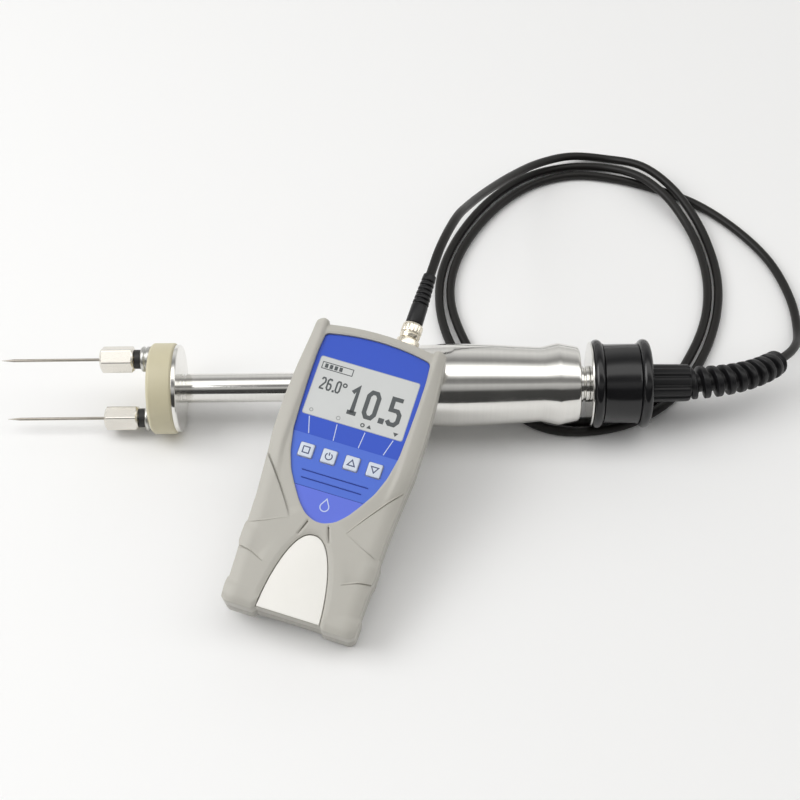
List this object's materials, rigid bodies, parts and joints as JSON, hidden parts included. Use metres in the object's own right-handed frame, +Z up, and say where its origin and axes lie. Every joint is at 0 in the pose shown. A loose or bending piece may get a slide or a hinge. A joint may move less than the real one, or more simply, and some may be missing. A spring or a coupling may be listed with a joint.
{
  "type": "wood moisture meter",
  "caption": "Hand-held electrical-resistance moisture meter with a display and keys, cabled to a slide-hammer electrode that drives two needles into timber.",
  "frame": {"origin": "middle of the footprint of the electrode and the meter, on the surface they lie on, without the cable and its fittings", "axes": "+X along the electrode from its needles to its cable end, +Y away from the meter towards the loop of cable, +Z up"},
  "size_m": [0.4554, 0.3703, 0.0824],
  "materials": {
    "needle_steel": "ground, satin",
    "nut_nickel": "nickel plated, satin",
    "holder_brass": "machined",
    "collar_steel": "satin",
    "seal_rubber": "matt",
    "disc_plastic": "turned, satin",
    "polished_steel": "turned and polished",
    "screw_steel": "zinc plated",
    "lead_insulation": "smooth",
    "bush_plastic": "machined",
    "cap_plastic": "high gloss",
    "relief_rubber": "moulded, semi-gloss",
    "cable_jacket": "satin",
    "plug_nickel": "nickel plated",
    "case_grey": "fine moulded texture",
    "guard_grey": "soft moulded",
    "overlay_blue": "printed film",
    "window_clear": "clear",
    "display_grey": "display cell",
    "board_green": "solder mask",
    "key_rubber": "matt",
    "key_plastic": "moulded",
    "label_cream": "printed film",
    "cell_wrap": "shrink film",
    "contact_plate": "spring plate"
  },
  "bodies": {
    "root": {"needle_holder_1": "holder_brass", "needle_holder_2": "holder_brass", "lock_collar_1": "collar_steel", "lock_collar_2": "collar_steel", "seal_rings": "seal_rubber", "insulator_disc": "disc_plastic", "head_plate": "polished_steel", "head_screws": "screw_steel", "shaft": "polished_steel", "inner_leads": "lead_insulation", "stop_collar": "polished_steel", "end_plate": "polished_steel", "end_cap": "cap_plastic", "cap_screws": "screw_steel", "gland": "relief_rubber", "strain_relief": "relief_rubber", "cable": "cable_jacket", "plug_boot": "relief_rubber", "plug_body": "plug_nickel", "socket": "plug_nickel", "socket_nut": "plug_nickel", "rear_shell": "case_grey", "front_shell": "case_grey", "guard_left": "guard_grey", "guard_right": "guard_grey", "keypad_overlay": "overlay_blue", "display_window": "window_clear", "display_module": "display_grey", "main_board": "board_green", "key_mat": "key_rubber", "label_plate": "label_cream", "battery_cells": "cell_wrap", "battery_contacts": "contact_plate", "shell_screws": "screw_steel"},
    "hammer_guides": {"hammer_bush_left": "bush_plastic", "hammer_bush_right": "bush_plastic"},
    "hammer": {"hammer": "polished_steel"},
    "needle_1": {"needle_1": "needle_steel"},
    "cap_nut_1": {"cap_nut_1": "nut_nickel"},
    "needle_2": {"needle_2": "needle_steel"},
    "cap_nut_2": {"cap_nut_2": "nut_nickel"},
    "coupling_ring": {"coupling_ring": "plug_nickel"},
    "key_hold": {"key_hold": "key_plastic"},
    "key_power": {"key_power": "key_plastic"},
    "key_up": {"key_up": "key_plastic"},
    "key_down": {"key_down": "key_plastic"},
    "battery_cover": {"battery_cover": "case_grey"}
  },
  "joints": [
    {"name": "hammer_slide", "type": "slide", "parent": "root", "child": "hammer_guides", "axis": [0.9998, 0, 0.0175], "range_m": [-0.08, 0]},
    {"name": "hammer_spin", "type": "hinge", "parent": "hammer_guides", "child": "hammer", "pos_m": [0.06037, 0.0656, 0.0279], "axis": [0.9998, 0, 0.0175], "continuous": true},
    {"name": "needle_1_draw", "type": "slide", "parent": "root", "child": "needle_1", "axis": [-0.9998, 0, -0.0175], "range_m": [0, 0.006]},
    {"name": "cap_nut_1_turn", "type": "hinge", "parent": "needle_1", "child": "cap_nut_1", "pos_m": [-0.12435, 0.07461, 0.0391], "axis": [-0.9998, 0, -0.0175], "range_deg": [0, 1800]},
    {"name": "needle_2_draw", "type": "slide", "parent": "root", "child": "needle_2", "axis": [-0.9998, 0, -0.0175], "range_m": [0, 0.006]},
    {"name": "cap_nut_2_turn", "type": "hinge", "parent": "needle_2", "child": "cap_nut_2", "pos_m": [-0.12385, 0.05659, 0.01027], "axis": [-0.9998, 0, -0.0175], "range_deg": [0, 1800]},
    {"name": "key_hold_press", "type": "slide", "parent": "root", "child": "key_hold", "axis": [0, 0.3355, -0.9421], "range_m": [0, 0.0005], "stiffness_N_per_m": 400, "springref_m": -0.0002},
    {"name": "key_power_press", "type": "slide", "parent": "root", "child": "key_power", "axis": [0, 0.3355, -0.9421], "range_m": [0, 0.0005], "stiffness_N_per_m": 400, "springref_m": -0.0002},
    {"name": "key_up_press", "type": "slide", "parent": "root", "child": "key_up", "axis": [0, 0.3355, -0.9421], "range_m": [0, 0.0005], "stiffness_N_per_m": 400, "springref_m": -0.0002},
    {"name": "key_down_press", "type": "slide", "parent": "root", "child": "key_down", "axis": [0, 0.3355, -0.9421], "range_m": [0, 0.0005], "stiffness_N_per_m": 400, "springref_m": -0.0002},
    {"name": "battery_cover_slide", "type": "slide", "parent": "root", "child": "battery_cover", "axis": [-0.2974, -0.8994, -0.3203], "range_m": [0, 0.009]},
    {"name": "coupling_ring_turn", "type": "hinge", "parent": "root", "child": "coupling_ring", "pos_m": [0.03583, 0.06985, 0.06686], "axis": [0.2974, 0.8994, 0.3203], "range_deg": [0, 90]}
  ],
  "couplings": [
    {"joint": "needle_1_draw", "follows": "cap_nut_1_turn", "m_per_rad": 0.000159},
    {"joint": "needle_2_draw", "follows": "cap_nut_2_turn", "m_per_rad": 0.000159}
  ]
}
